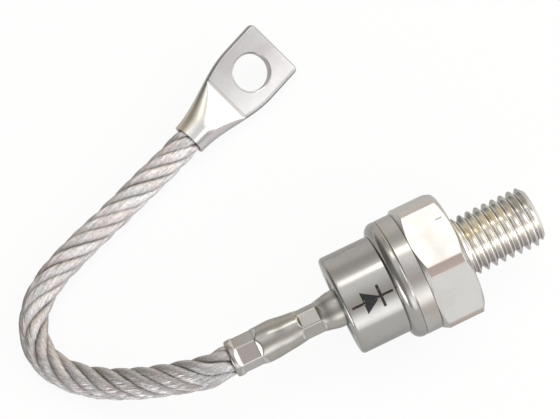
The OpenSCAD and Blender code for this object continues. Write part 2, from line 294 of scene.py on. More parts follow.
def new_material(name, **sockets):
    """A material with one Principled shader; plain values go straight to its own sockets."""
    material = bpy.data.materials.new(name)
    material.use_nodes = True
    tree = material.node_tree
    shader = tree.nodes["Principled BSDF"]
    for label, value in sockets.items():
        shader.inputs[label.replace("_", " ")].default_value = value
    where = tree.nodes.new("ShaderNodeTexCoord").outputs["Object"]
    return material, tree, shader.inputs, where


def reopen(material):
    """A material's nodes, its shader's inputs, its own coordinates and the colour that it has so far."""
    tree = material.node_tree
    shader = tree.nodes["Principled BSDF"].inputs
    where = put(tree, "ShaderNodeTexCoord").outputs["Object"]
    return tree, shader, where, shader["Base Color"].links[0].from_socket


def within(tree, value, middle, reach, soft):
    """1 where a value lies within reach of a middle, with a soft edge."""
    off = math_of(tree, "ABSOLUTE", math_of(tree, "SUBTRACT", value, middle))
    return between(tree, off, reach + soft, reach - soft)


def times(tree, *values):
    """The product of some masks."""
    product = values[0]
    for value in values[1:]:
        product = math_of(tree, "MULTIPLY", product, value)
    return product


def bump(tree, height, strength, distance_mm):
    values = {"Height": height, "Strength": strength, "Distance": distance_mm * MM}
    return put(tree, "ShaderNodeBump", values).outputs[0]


def grey(value, warm=0.0):
    """A near-neutral colour; warm moves it a little towards yellow."""
    return (value * (1 + warm), value, value * (1 - 1.6 * warm), 1.0)


# %% [markdown]
# ## Finishes that several pieces share
# Plated metal is never one even grey. The lathe leaves fine rings, handling leaves cloudy dulled patches
# and the odd short scratch. These are three node groups, so that each metal can take them at its own
# strength. They put out only values that change over the surface; the shader stays in each material.

# %% Lathe rings
rings_group, takes, gives = new_group(
    "lathe_rings",
    [("Where", "NodeSocketVector", None), ("Rings per mm", "NodeSocketFloat", 8.0)],
    [("Rings", "NodeSocketFloat")],
)
tree = rings_group
per_metre = times(tree, takes["Rings per mm"], 1000.0)
apart = put(tree, "ShaderNodeSeparateXYZ", {0: takes["Where"]}).outputs
axial = times(tree, apart[0], per_metre)
wander_y = times(tree, apart[1], 60.0)
wander_z = times(tree, apart[2], 60.0)
stretched = put(tree, "ShaderNodeCombineXYZ", {0: axial, 1: wander_y, 2: wander_z}).outputs[0]
tree.links.new(noise_of(tree, stretched, 1.0, 2.0, 0.6), gives["Rings"])
print("group", rings_group.name)

# %% Cloudy handling marks
clouds_group, takes, gives = new_group(
    "handling_clouds",
    [("Where", "NodeSocketVector", None), ("Clouds per mm", "NodeSocketFloat", 0.15)],
    [("Clouds", "NodeSocketFloat"), ("Specks", "NodeSocketFloat")],
)
tree = clouds_group
per_metre = times(tree, takes["Clouds per mm"], 1000.0)
soft = noise_of(tree, takes["Where"], per_metre, 4.0, 0.55)
fine = noise_of(tree, takes["Where"], times(tree, per_metre, 14.0), 2.0, 0.5)
tree.links.new(between(tree, soft, 0.38, 0.66), gives["Clouds"])
tree.links.new(between(tree, fine, 0.64, 0.72), gives["Specks"])
print("group", clouds_group.name)

# %% Short scratches
scratch_group, takes, gives = new_group(
    "short_scratches",
    [("Where", "NodeSocketVector", None), ("Amount", "NodeSocketFloat", 0.5)],
    [("Scratches", "NodeSocketFloat")],
)
tree = scratch_group
found = None
for tilt, swing in ((0.6, 0.3), (-0.9, 1.1), (1.9, -0.5)):
    swung = put(
        tree, "ShaderNodeMapping",
        {"Vector": takes["Where"], "Rotation": (tilt, swing, tilt + swing), "Scale": (5200.0, 260.0, 700.0)},
    ).outputs[0]
    streak = between(tree, noise_of(tree, swung, 1.0, 1.0, 0.4), 0.74, 0.78)
    found = streak if found is None else math_of(tree, "MAXIMUM", found, streak)
tree.links.new(times(tree, found, takes["Amount"]), gives["Scratches"])
print("group", scratch_group.name)

# %% [markdown]
# ## Plated metals
# Nickel plate on the copper base and the drawn steel cap look alike from a step away: pale, a little warm,
# with a satin gloss. One recipe makes them all. The clouds dull the gloss and the tint, the rings and
# scratches tilt the surface a little through a bump, and each piece has its own brightness and gloss.

# %% The recipe for a plated metal


def plated_metal(name, brightness, warm, gloss, rings=0.0, rings_per_mm=8.0, scratches=0.4, clouds=0.15):
    """A metal with lathe rings, clouds and scratches; gloss is its roughness where it is cleanest."""
    material, tree, shader, where = new_material(name, Metallic=1.0, Specular_Tint=grey(0.7))
    cloud = place_group(tree, clouds_group, {"Where": where, "Clouds per mm": clouds})
    ring = place_group(tree, rings_group, {"Where": where, "Rings per mm": rings_per_mm})["Rings"]
    scratch = place_group(tree, scratch_group, {"Where": where, "Amount": scratches})["Scratches"]
    specks = times(tree, cloud["Specks"], 0.25)
    painted(tree, shader, grey(brightness, warm), [
        (cloud["Clouds"], grey(brightness * 0.90, warm * 1.6)), (specks, grey(brightness * 0.6, warm)),
    ])
    dull = between(tree, cloud["Clouds"], 0.0, 1.0, gloss, gloss + 0.07)
    rough = math_of(tree, "ADD", dull, times(tree, scratch, 0.12))
    tree.links.new(rough, shader["Roughness"])
    height = times(tree, ring, rings)
    height = math_of(tree, "SUBTRACT", height, times(tree, scratch, 0.5))
    tree.links.new(bump(tree, height, 0.5, 0.02), shader["Normal"])
    return material


base_nickel = plated_metal("base_nickel", 0.58, 0.012, 0.29, rings=0.15)
# painted light: the thread's nickel is the hexagon's nickel made lighter, standing in for brighter light on
# the thread
thread_nickel_painted_light = plated_metal("thread_nickel_painted_light", 0.82, 0.022, 0.16)
cap_steel = plated_metal("cap_steel", 0.46, 0.02, 0.18, rings=0.25, rings_per_mm=5.0)
sleeve_nickel = plated_metal("sleeve_nickel", 0.38, 0.03, 0.17, scratches=0.6, clouds=0.3)
lug_tin = plated_metal("lug_tin", 0.70, 0.004, 0.22, scratches=0.5, clouds=0.2)
print("metals:", base_nickel.name, thread_nickel_painted_light.name, cap_steel.name, sleeve_nickel.name, lug_tin.name)

# %% [markdown]
# ## The stranded lead
# The lead is a rope: six strands laid right-handed round a seventh, each strand a bundle of fine tinned
# wires laid the other way, so the wires run nearly along the rope. A bump on a smooth tube would fake it,
# but the scalloped outline would be missing. Here each strand is a swept section with one lobe per wire,
# and the two crimped ends are squeezed thinner.

# %% Thickness of the rope along its length
STRANDS = 6
ROPE_PITCH = 28.0
WIRE_PITCH = -10.0
WIRES = 24
STRAND_RING, STRAND_DEEP, STRAND_WIDE = 0.327, 0.173, 0.196
CORE_WIRES = 6
WIRE_POINTS, WIRE_GROOVE = 3, 0.15
LAY_SWAY, LAY_SWAY_OVER = 0.05, 7.0
RING_SWAY, RING_SWAY_OVER = 0.02, 5.0
LOOSE = ((0.03, 2.3, 1), (0.02, 1.1, 2))
mouth_at = float(np.linalg.norm(SLEEVE_MOUTH - SLEEVE_BOTTOM))
lug_at = LEAD_LENGTH - BARREL_DEPTH
thick_at = [0, mouth_at - 1.4, mouth_at + 0.4, mouth_at + 6, mouth_at + 30, mouth_at + 48,
            lug_at - 30, lug_at - 8, lug_at - 0.4, lug_at + 1.4, LEAD_LENGTH]
thick_is = [0.75, 0.75, 0.96, 1.05, 1.01, 0.97, 0.96, 0.96, 0.97, 0.81, 0.81]
thickness = LEAD_D * np.interp(along, thick_at, thick_is)
print("rope from", round(float(thickness.min()), 2), "to", round(float(thickness.max()), 2), "mm thick")

# %% Sweep one strand


def strand(number, offset, wires):
    """Points of one strand. With each point come how far it stands out of the grooves and the tone of its
    wire, both 0 to 1, and how far it lies left of the rope's middle, in radii."""
    dice = np.random.default_rng(40 + number)
    lay_angle = TURN * along / ROPE_PITCH + TURN * number / STRANDS
    lay_angle = lay_angle + LAY_SWAY * np.sin(along / LAY_SWAY_OVER + 2.1 * number)
    out = np.cos(lay_angle)[:, None] * side + np.sin(lay_angle)[:, None] * lift
    wander = 1 + RING_SWAY * np.sin(along / RING_SWAY_OVER + 1.7 * number)
    middle = centre + out * (thickness * offset * wander)[:, None]
    ahead = directions(middle)
    out = unit(out - ahead * np.sum(out * ahead, axis=1, keepdims=True))
    across = np.cross(ahead, out)
    spot = np.arange(wires * WIRE_POINTS)
    lobe = np.where(spot % WIRE_POINTS == 0, 0.0, 1.0)
    wire = spot // WIRE_POINTS
    phase, tone = dice.uniform(0, TURN, wires)[wire], dice.uniform(0, 1, wires)[wire]
    loose = sum(much * np.sin(along[:, None] / over + n * phase) for much, over, n in LOOSE)
    size = thickness[:, None] * (1 - WIRE_GROOVE * (1 - lobe) + loose)
    angle = TURN * spot / len(spot) + (TURN * along / WIRE_PITCH)[:, None] + 2.4 * loose + number
    rows = (
        middle[:, None] + (size * STRAND_DEEP * np.cos(angle))[..., None] * out[:, None]
        + (size * STRAND_WIDE * np.sin(angle))[..., None] * across[:, None]
    )
    stands_out = (0.75 + 0.25 * lobe) * (0.5 + 0.5 * np.cos(angle))
    tone = np.clip(tone + 6 * loose, 0, 1)
    to_left = np.sum((rows - centre[:, None]) * side[:, None], axis=2) / (thickness[:, None] / 2)
    return rows.reshape(-1, 3), stands_out.reshape(-1), tone.reshape(-1), to_left.reshape(-1)


# %% Lay the strands up into the rope
laid = [strand(number, STRAND_RING, WIRES) for number in range(STRANDS)] + [strand(STRANDS, 0.0, CORE_WIRES)]
faces, first = [], 0
for rows, *_ in laid:
    columns = len(rows) // len(along)
    faces += [tuple(first + v for v in face) for face in skin(len(along), columns)]
    first += len(rows)
points = np.concatenate([rows for rows, *_ in laid])
rope = make_piece("stranded_lead", points, faces, "tinned_copper", ["cable"], 180.0)
for k, label in ((1, "stands_out"), (2, "wire_tone"), (3, "to_left")):
    stored = rope.data.attributes.new(label, "FLOAT", "POINT")
    stored.data.foreach_set("value", np.concatenate([parts[k] for parts in laid]).astype(np.float32))
told(rope)

# %% [markdown]
# Tinned wire is pale where it is rubbed and dull, slightly brown, where dirt and bare copper sit between
# the strands. The sweep stored how far each point stands out, so the tone can follow the real grooves.
# Clouds of a warm and a cool tint keep the wires from looking cast from one bar. Painted shade darkens the
# stretch by the sleeve, the bend and the left side of the run to the lug.

# %% Finish of the tinned wire
tinned_wire, tree, shader, where = new_material("tinned_wire", Metallic=1.0, Specular_Tint=grey(0.7))
stands_out, to_left = stored_value(tree, "stands_out"), stored_value(tree, "to_left")
wire_tone = stored_value(tree, "wire_tone")
cloud = place_group(tree, clouds_group, {"Where": where, "Clouds per mm": 0.3})
mottled = between(tree, noise_of(tree, where, 1900.0, 2.0, 0.6), 0.36, 0.62)
lit = times(tree, math_of(tree, "ADD", wire_tone, mottled), 0.5)
pale = mixed(tree, lit, grey(0.52), (0.96, 0.945, 0.965, 1.0))
tinted = mixed(tree, lit, (0.60, 0.525, 0.475, 1.0), (0.98, 0.91, 0.96, 1.0))
_, back, _ = millimetres(tree, where)
# painted shade: the stretch by the sleeve and the bend are darkened, fading out along the run to the lug
painted_shade_low_run = between(tree, back, 25.0, 46.0, 0.32, 0.0)
# painted shade: the left side of the run to the lug is darkened
painted_shade_left = times(tree, between(tree, to_left, 0.15, 0.75, 0.0, 0.62), between(tree, back, 22.0, 34.0))
specks = times(tree, cloud["Specks"], 0.6)
groove = between(tree, stands_out, 0.84, 0.48)
groove_dirt = mixed(tree, cloud["Clouds"], grey(0.26, 0.01), (0.29, 0.255, 0.23, 1.0))
painted(tree, shader, pale, [
    (cloud["Clouds"], tinted), (painted_shade_low_run, grey(0.26)), (painted_shade_left, (0.33, 0.28, 0.25, 1.0)),
    (specks, grey(0.24, 0.01)), (groove, groove_dirt),
])
tree.links.new(between(tree, wire_tone, 0.0, 1.0, 0.52, 0.38), shader["Roughness"])
rope.data.materials.append(tinned_wire)
print("finish", tinned_wire.name)

# %% [markdown]
# ## The flattened lug
# The lug is a piece of tube whose far end was pressed flat and punched. Seen from above the press leaves
# a sloping triangle, then a crease, then the palm. It could be sculpted, but the shape follows a rule: a
# round section that turns step by step into a flat one with round edges. The bore and the hole are cut
# afterwards, with a cutter whose outline has the bevel of the punched edge. The cuts leave slivers, so the
# mesh is cleaned once they are made.

# %% Loft the lug
BARREL_R, LUG_LEN, FLAT_FROM, FOLD_AT = 3.7, 26.7, 4.2, 11.4
PALM_HALF, PALM_T, TIP_R = 7.0, 2.4, 0.9
HOLE_R, HOLE_FROM_TIP = 3.95, 7.5
WIDEN_TO = FOLD_AT + PALM_HALF
EDGE_EASE, CREASE, CREASE_W, EASE_IN = 0.25, 0.08, 0.18, 0.14


def lug_section(s, arc=24, flat=24):
    """One section of the lug at a distance from its mouth, as points of its own frame."""
    cut = max(0.0, s - (LUG_LEN - TIP_R))
    half_w = BARREL_R + (PALM_HALF - BARREL_R) * eased(s / WIDEN_TO)
    half_w -= TIP_R - math.sqrt(max(0.0, TIP_R**2 - cut**2))
    fold = (s - FLAT_FROM) / (FOLD_AT - FLAT_FROM)
    fold = min(1.0, fold if fold > EASE_IN else max(0.0, fold + EASE_IN) ** 2 / (4 * EASE_IN))
    half_t = BARREL_R + (PALM_T / 2 - BARREL_R) * fold
    end = max(0.0, s - (LUG_LEN - EDGE_EASE))
    half_t -= EDGE_EASE - math.sqrt(max(0.0, EDGE_EASE**2 - end**2))
    half_t -= CREASE * math.exp(-(((s - FOLD_AT) / CREASE_W) ** 2))
    flat_w = (half_w - PALM_T / 4) * fold
    ring = []
    for sign in (1, -1):
        for k in range(arc + 1):
            a = sign * math.pi / 2 * (2 * k / arc - 1) if sign > 0 else math.pi / 2 + math.pi * k / arc
            ring.append((s, sign * flat_w + (half_w - flat_w) * math.cos(a), half_t * math.sin(a)))
        for k in range(1, flat):
            ring.append((s, sign * flat_w * (1 - 2 * k / flat), sign * half_t))
    return ring


stations = np.concatenate([
    np.linspace(0, 3.0, 9)[:-1], np.linspace(3.0, FOLD_AT - 0.5, 66), FOLD_AT + np.linspace(-0.4, 0.4, 9),
    np.linspace(FOLD_AT + 0.5, LUG_LEN - TIP_R, 30),
    LUG_LEN - TIP_R + TIP_R * np.sin(np.radians([12, 24, 36, 46, 54, 60, 66, 72, 78, 84, 90])),
])
sections = [lug_section(s) for s in stations]
points, faces = lug_to_part(np.concatenate(sections)), skin(len(sections), len(sections[0]))
lug = make_piece("flattened_lug", points, faces, "tinned_lug", ["lug"], 32.0)
told(lug)

# %% Cutters turned from an outline


def turned(outline, segments=96, to_part=None):
    """Turns a half outline of (height, radius) pairs about its axis into points and faces."""
    spins = TURN * np.arange(segments) / segments
    points = np.array([(h, r * math.sin(a), r * math.cos(a)) for h, r in outline for a in spins])
    faces = skin(len(outline), segments, ends=False)
    return (to_part(points) if to_part else points * [-1, 1, 1]), faces


def cut_with(piece, outline, to_part):
    """Takes a turned shape out of a piece."""
    cutter = make_piece("cutter", *turned(outline, 96, to_part))
    cut = piece.modifiers.new("cut", "BOOLEAN")
    cut.object, cut.operation, cut.solver = cutter, "DIFFERENCE", "EXACT"
    graph = bpy.context.evaluated_depsgraph_get()
    result = bpy.data.meshes.new_from_object(piece.evaluated_get(graph))
    piece.modifiers.clear()
    old, piece.data = piece.data, result
    bpy.data.meshes.remove(old)
    bpy.data.objects.remove(cutter)


def across_palm(points):
    """Stands a turned shape upright in the palm, at the hole."""
    return lug_to_part(np.stack([LUG_LEN - HOLE_FROM_TIP - points[:, 2], points[:, 1], points[:, 0]], axis=1))


# %% Bore the barrel and punch the hole
BELL = 1.2
PUNCH_BEVEL, CUT_PAST, SLIVER = 0.3, 3, 0.002 * MM
bore_r, bell_r = 2.65, LEAD_D / 2 + 0.05
cut_with(
    lug, [(-1, 0), (-1, bell_r), (0, bell_r), (BELL, bore_r), (BARREL_DEPTH, bore_r), (BARREL_DEPTH, 0)],
    lug_to_part,
)
top, bevel_r = PALM_T / 2, HOLE_R + PUNCH_BEVEL
hole_outline = [
    (-CUT_PAST, 0), (-CUT_PAST, bevel_r), (-top, bevel_r),
    (-top + PUNCH_BEVEL / 3, HOLE_R + PUNCH_BEVEL / 3), (-top + PUNCH_BEVEL, HOLE_R),
]
hole_outline += [(-h, r) for h, r in reversed(hole_outline)]
cut_with(lug, hole_outline, across_palm)
with reworked(lug.data) as work:
    bmesh.ops.remove_doubles(work, verts=work.verts, dist=SLIVER)
    bmesh.ops.triangulate(work, faces=work.faces)
    bmesh.ops.dissolve_degenerate(work, edges=work.edges, dist=SLIVER)
shade(lug.data, 20.0)
lug.data.materials.clear()
lug.data.materials.append(lug_tin)
told(lug)

# %% [markdown]
# Tin takes on a breath of colour: lilac where it was handled. The straw on one side of the barrel is a
# painted gold reflection. The palm is painted lighter towards its low side and darker towards the other;
# painted shade darkens its low edge, the tip's edge, the sides turned away from the palm, the crease and the
# bevel of the hole. The masks are measured in the lug's own frame: X to the tip, Y to the side that is up.

# %% Tints on the tin
tree, shader, where, tone = reopen(lug_tin)
from_mouth = vector_of(tree, "SUBTRACT", where, tuple(LUG_MOUTH * MM))["Vector"]
from_mouth = vector_of(tree, "MULTIPLY", from_mouth, IN_MM)["Vector"]


def along_lug(vector, axis):
    """How far a vector reaches along one axis of the lug's own frame."""
    return vector_of(tree, "DOT_PRODUCT", vector, tuple(lug_turn[:, axis]))["Value"]


to_tip, to_side = along_lug(from_mouth, 0), along_lug(from_mouth, 1)
hole_at = tuple(lug_turn @ [LUG_LEN - HOLE_FROM_TIP, 0, 0])
from_hole = vector_of(tree, "DISTANCE", from_mouth, hole_at)["Value"]
normal = put(tree, "ShaderNodeNewGeometry").outputs["Normal"]
facing_up = math_of(tree, "ABSOLUTE", along_lug(normal, 2))
lilac = between(tree, noise_of(tree, where, 110.0, 2.0), 0.40, 0.62, 0.0, 0.85)
# painted reflection: a straw gold on one side of the barrel
painted_gold_reflection = times(tree, between(tree, to_tip, 10.0, 5.0), between(tree, to_side, 1.0, 2.6, 0.0, 0.5))
on_palm = between(tree, to_tip, FOLD_AT - 0.1, FOLD_AT + 0.4)
# painted light and shade: the palm is lighter towards its low side and darker towards the other
painted_light_side = times(tree, on_palm, between(tree, to_side, 1.0, -5.0, 0.0, 0.62))
painted_shade_side = times(tree, on_palm, between(tree, to_side, 0.0, 5.0, 0.0, 0.40))
# painted shade: a dark line along the crease and a dark ring on the bevel of the hole
crease = times(tree, within(tree, to_tip, FOLD_AT + 0.3, 0.12, 0.04), 0.5)
bevel = times(tree, within(tree, from_hole, HOLE_R + 0.42, 0.12, 0.06), 0.6)
# painted shade from here to the tip's edge: the palm's low edge, the sides turned away from the palm and the
# tip's edge are darkened
outline = {"Value": to_tip, "From Max": WIDEN_TO, "To Min": -BARREL_R, "To Max": -PALM_HALF}
low_side = put(tree, "ShaderNodeMapRange", outline, interpolation_type="SMOOTHSTEP").outputs[0]
from_low_side = math_of(tree, "SUBTRACT", to_side, low_side)
painted_low_edge_shade = times(tree, on_palm, between(tree, from_low_side, 1.15, 0.6, 0.0, 0.8))
turned_away = between(tree, facing_up, 0.93, 0.55, 0.0, 0.75)
towards_palm = between(tree, to_tip, 6.0, 12.5, 0.3, 1.0)
off_hole = between(tree, from_hole, HOLE_R + 0.5, HOLE_R + 0.8, 0.4, 1.0)
fold = times(tree, turned_away, towards_palm, off_hole)
rim = between(tree, to_tip, LUG_LEN - 0.34, LUG_LEN - 0.2, 0.0, 0.85)
painted(tree, shader, tone, [
    (lilac, (0.60, 0.55, 0.57, 1.0)), (painted_gold_reflection, (0.66, 0.57, 0.38, 1.0)), (painted_light_side, grey(0.95)),
    (painted_shade_side, grey(0.45)), (crease, grey(0.36)), (bevel, grey(0.36)), (painted_low_edge_shade, grey(0.22)),
    (math_of(tree, "MAXIMUM", fold, rim), grey(0.24)),
])
print("tinted", lug_tin.name)

# %% [markdown]
# ## The lead and its lug
# The rope and the lug on its end belong together: the length of the rope is printed with the lug's name.

print("cord of", round(LEAD_LENGTH, 1), "mm with", lug.name)

# %% [markdown]
# ## The threaded base
# The base is turned from hexagon bar: a coarse M12 thread below, six wrench flats whose corners the lathe
# has knocked off, and a 30 degree chamfer at both ends. A boolean of a prism and a cone would do, but rows
# of points that follow the edges themselves give clean quads, which take a fine bevel.

# %% Break the corners of an outline


def broken(outline, size, steps=3):
    """Rounds each inner corner of a (height, radius) outline and adds a point on each side to hold it."""
    outline = [np.array(p, float) for p in outline]
    made = [outline[0]]
    for before, corner, after in zip(outline, outline[1:], outline[2:]):
        back, on = before - corner, after - corner
        long_back, long_on = np.linalg.norm(back), np.linalg.norm(on)
        take = min(size, 0.3 * long_back, 0.3 * long_on)
        start, stop = corner + back / long_back * take, corner + on / long_on * take
        made.append(corner + back / long_back * take * 1.5)
        for t in np.linspace(0, 1, steps + 1):
            made.append((1 - t) ** 2 * start + 2 * t * (1 - t) * corner + t**2 * stop)
        made.append(corner + on / long_on * take * 1.5)
    return made + [outline[-1]]


# %% Hexagon with its turned edges


def soft_least(values, soft):
    """The least of some values, with a soft turn where two of them meet."""
    least = min(values)
    return least - soft * math.log(sum(math.exp((least - v) / soft) for v in values))


FLAT_R, HEX_H, CORNER_W, SEAT_R, COLLAR_R = 12.0, 9.0, 2.0, 11.5, 11.95
SPIGOT_R, SPIGOT_TOP, PEDESTAL_R, PEDESTAL_TOP = 9.25, 11.0, 7.5, 11.6
SEAT_INNER_R, PEDESTAL_INNER_R, EDGE = 5.0, 3.0, 0.16
corner_half = math.asin(CORNER_W / 2 / (FLAT_R / math.cos(math.pi / 6)))
corner_r = FLAT_R / math.cos(math.pi / 6 - corner_half) - 0.005
chamfer = math.tan(math.radians(30))
flat_end = math.pi / 6 - corner_half
near_edge = np.array([-0.030, -0.018, -0.010, -0.004, 0.0, 0.004, 0.010, 0.018])
sector = np.unique(np.concatenate([
    np.linspace(-flat_end + 0.03, flat_end - 0.03, 15), flat_end + near_edge, -flat_end + near_edge,
    np.linspace(flat_end + 0.02, math.pi / 6 + corner_half - 0.02, 5)[1:-1],
]))
columns, rows = [], None
for flat_number in range(6):
    for a in sector:
        r = soft_least([FLAT_R / math.cos(a), corner_r], 0.02)
        outline = [
            (0, SEAT_INNER_R), (0, SEAT_R), ((r - SEAT_R) * chamfer, r),
            (HEX_H - (r - COLLAR_R) * chamfer, r), (HEX_H, COLLAR_R), (HEX_H, SPIGOT_R),
            (SPIGOT_TOP, SPIGOT_R), (SPIGOT_TOP, PEDESTAL_R),
            (PEDESTAL_TOP, PEDESTAL_R), (PEDESTAL_TOP, PEDESTAL_INNER_R),
        ]
        turn = a + flat_number * TURN / 6
        columns.append([(-h, r * math.sin(turn), r * math.cos(turn)) for h, r in broken(outline, EDGE)])
grid = np.array(columns).transpose(1, 0, 2)
faces = skin(*grid.shape[:2])
base = make_piece("hexagon_base", grid.reshape(-1, 3), faces, "nickel_plate", ["stud_base"], 50.0)
base.data.materials.append(base_nickel)
told(base)

# %% [markdown]
# One dark scratch shows on the upper flat, and the corners are painted brown, most of all the front ones.
# The shared scratches fall by chance, so these marks have masks of their own: a short box with soft ends,
# and a band at the distance of the corners from the axis.

# %% Scratch and brown corners
tree, shader, where, tone = reopen(base_nickel)
x, y, z = millimetres(tree, where)
mark = times(
    tree, within(tree, x, -1.85, 0.7, 0.2), within(tree, y, 2.4, 0.16, 0.08),
    between(tree, z, 11.2, 11.6, 0.0, 0.85),
)
level = vector_of(tree, "MULTIPLY", where, (0.0, 1 / MM, 1 / MM))["Vector"]
from_axis = vector_of(tree, "LENGTH", level)["Value"]
# the corners are painted brown, more towards the front
brown_corners = times(tree, between(tree, from_axis, 13.15, 13.35), between(tree, y, 3.0, -3.0, 0.2, 0.6))
painted(tree, shader, tone, [(mark, grey(0.16)), (brown_corners, (0.40, 0.30, 0.25, 1.0))])
print("scratched and worn", base_nickel.name)

# %% [markdown]
# The thread is a helix with flat crests and round roots. It fades out towards the hexagon and ends in a
# 45 degree lead-in. A screw modifier could sweep the profile, but the two ends would need cutting: here each
# row of points climbs one pitch in a turn, and the ends are only limits on the radius.

# %% Points of the thread
STUD_R, STUD_LEN, LEAD_IN, PITCH = 5.97, 16.2, 1.1, 1.75
START_TURN, FADE_FROM, FADE_OVER = 0.66, 0.5, 1.6
DEPTH, CREST_HALF, FLANK = 0.5413 * PITCH, 0.0625, 0.3125
half = [(0.0, 0.0), (0.045, 0.0), (0.07, 0.035)]
half += [(u, (u - CREST_HALF) / FLANK) for u in (0.12, 0.19, 0.26, 0.33)]
half += [(0.37, 0.98), (0.40, 1.06), (0.43, 1.105), (0.465, 1.128)]
profile = half + [(0.5, 1.133)] + [(1 - u, cut) for u, cut in reversed(half[1:])]
AROUND, TURNS, ROOT_X, STUD_SHARP = 128, 13, -0.4, 44.0
per_pitch = len(profile)
thread = []
for k in range(TURNS * per_pitch):
    u, cut = profile[k % per_pitch]
    for c in range(AROUND):
        x = (k // per_pitch + u - 2 + START_TURN + c / AROUND) * PITCH
        x = min(STUD_LEN, max(ROOT_X, x))
        r = STUD_R - DEPTH * cut * eased((x - FADE_FROM) / FADE_OVER)
        r = min(r, STUD_R - LEAD_IN + (STUD_LEN - x))
        b = TURN * c / AROUND
        thread.append((x, r * math.cos(b), r * math.sin(b)))
print("thread of", len(thread), "points,", per_pitch, "to a pitch")

# %% Faces of the thread


def on_helix(k, c):
    """Number of a point by row and column; after one turn the helix goes on a pitch further."""
    return k * AROUND + c if c < AROUND else min(len(thread) - AROUND, (k + per_pitch) * AROUND)


faces = [
    (on_helix(k, c), on_helix(k, c + 1), on_helix(k + 1, c + 1), on_helix(k + 1, c))
    for k in range(TURNS * per_pitch - 1) for c in range(AROUND)
]
faces = [f for f in faces if len({tuple(np.round(thread[v], 6)) for v in f}) > 2]
stud = make_piece("stud_thread", thread, faces, "nickel_plate", sharp_deg=STUD_SHARP)
with reworked(stud.data) as work:
    bmesh.ops.holes_fill(work, edges=[e for e in work.edges if e.is_boundary])
    bmesh.ops.recalc_face_normals(work, faces=work.faces)
stud.data.set_sharp_from_angle(angle=math.radians(STUD_SHARP))
stud.data.materials.append(thread_nickel_painted_light)
told(stud)

# %% [markdown]
# The thread's top carries a patchy painted gold reflection that turns grey towards the end, and painted
# shade darkens the back and the front. How far round the axis a point lies, in degrees from the top, tells
# which it is.

# %% Painted reflection and shade on the thread
tree, shader, where, tone = reopen(thread_nickel_painted_light)
x, y, z = millimetres(tree, where)
from_top = math_of(tree, "DEGREES", math_of(tree, "ARCTAN2", y, z))
patchy = between(tree, noise_of(tree, where, 260.0, 1.0), 0.40, 0.58, 0.35, 1.0)
# painted reflection: a patchy gold on top of the thread
painted_gold_reflection = times(tree, within(tree, from_top, 4.0, 26.0, 8.0), patchy, 0.8)
painted_gold_tone = mixed(tree, between(tree, x, 8.0, 13.5), (0.60, 0.55, 0.42, 1.0), grey(0.50))
# painted shade: the back and the front of the thread are darkened
back_painted_shade = times(tree, between(tree, from_top, 22.0, 46.0), between(tree, from_top, 150.0, 110.0), 0.68)
front_painted_shade = times(tree, between(tree, from_top, -54.0, -76.0), between(tree, from_top, -150.0, -120.0), 0.6)
painted(tree, shader, tone, [
    (painted_gold_reflection, painted_gold_tone), (back_painted_shade, grey(0.27)), (front_painted_shade, (0.40, 0.37, 0.37, 1.0)),
])
print("tinted", thread_nickel_painted_light.name)

# %% [markdown]
# ## The collar and the cap
# A steel collar is brazed to the base, and the drawn cap is welded to it by its flange. Both are turned
# outlines. The seam between them is a small V where two bevels meet, and the flange rises into the can in
# a round shoulder. Every corner is broken a little, because an edge with no radius catches no light. The
# heat of the weld left a faint brown tint on the collar.

# %% Tools for turned pieces


def round_part(middle, radius, from_deg, to_deg, steps):
    """Points of an arc in a (height, radius) outline; degrees run from the radius towards the height."""
    spread = np.radians(np.linspace(from_deg, to_deg, steps))
    return [(middle[0] + radius * math.sin(a), middle[1] + radius * math.cos(a)) for a in spread]


def turned_piece(name, outline, slot, stands_for, material, segments=160, sharp_deg=45.0):
    """A closed ring: the outline ends where it starts."""
    points, faces = turned(outline + [outline[0]], segments)
    piece = make_piece(name, points, faces, slot, stands_for, sharp_deg)
    piece.data.materials.append(material)
    told(piece)
    return piece


# %% Turn the collar
SEAM_H, END_H, CAP_R, CAP_BORE_R, SEAL_R, NECK_R = 12.2, 25.0, 10.0, 9.2, 6.5, 7.2
FLANGE_H, NECK_H, END_INNER_H, END_ROUND = 12.9, 21.4, 24.2, 0.7
collar_inner = SPIGOT_R + 0.05
collar_outline = broken(
    [(10, collar_inner), (HEX_H, collar_inner), (HEX_H, COLLAR_R), (SEAM_H - 0.12, COLLAR_R),
     (SEAM_H, COLLAR_R - 0.1), (SEAM_H, collar_inner), (11, collar_inner)], 0.12,
)
tree, shader, where, tone = reopen(cap_steel)
heat = between(tree, noise_of(tree, where, 130.0, 1.0), 0.50, 0.68, 0.0, 0.2)
painted(tree, shader, tone, [(heat, (0.36, 0.24, 0.20, 1.0))])
turned_piece("welded_collar", collar_outline, "plated_steel", ["weld_ring"], cap_steel)

# %% Outline of the cap
cap_outline = broken(
    [(20, CAP_BORE_R), (SEAM_H, CAP_BORE_R), (SEAM_H, COLLAR_R - 0.12), (SEAM_H + 0.3, COLLAR_R),
     (FLANGE_H, COLLAR_R)], 0.08,
)
cap_outline += round_part((FLANGE_H, CAP_R), COLLAR_R - CAP_R, 4, 90, 14)
cap_outline += [(15.2, CAP_R), (24.0, CAP_R)]
cap_outline += round_part((END_H - END_ROUND, CAP_R - END_ROUND), END_ROUND, 0, 90, 9)
cap_outline += broken(
    [(END_H, 9.0), (END_H, SEAL_R), (NECK_H, SEAL_R), (NECK_H, NECK_R), (END_INNER_H, NECK_R),
     (END_INNER_H, CAP_BORE_R), (22, CAP_BORE_R)], 0.1,
)
print("cap outline of", len(cap_outline), "points")

# %% [markdown]
# The can carries a printed mark that tells which way the current runs. The plain symbol is a triangle, a bar
# and a line, so no picture is needed: two lengths are measured on the surface, one along the can and one
# round it, and each shape is what lies within a few limits. The ink is flat black with small gaps.

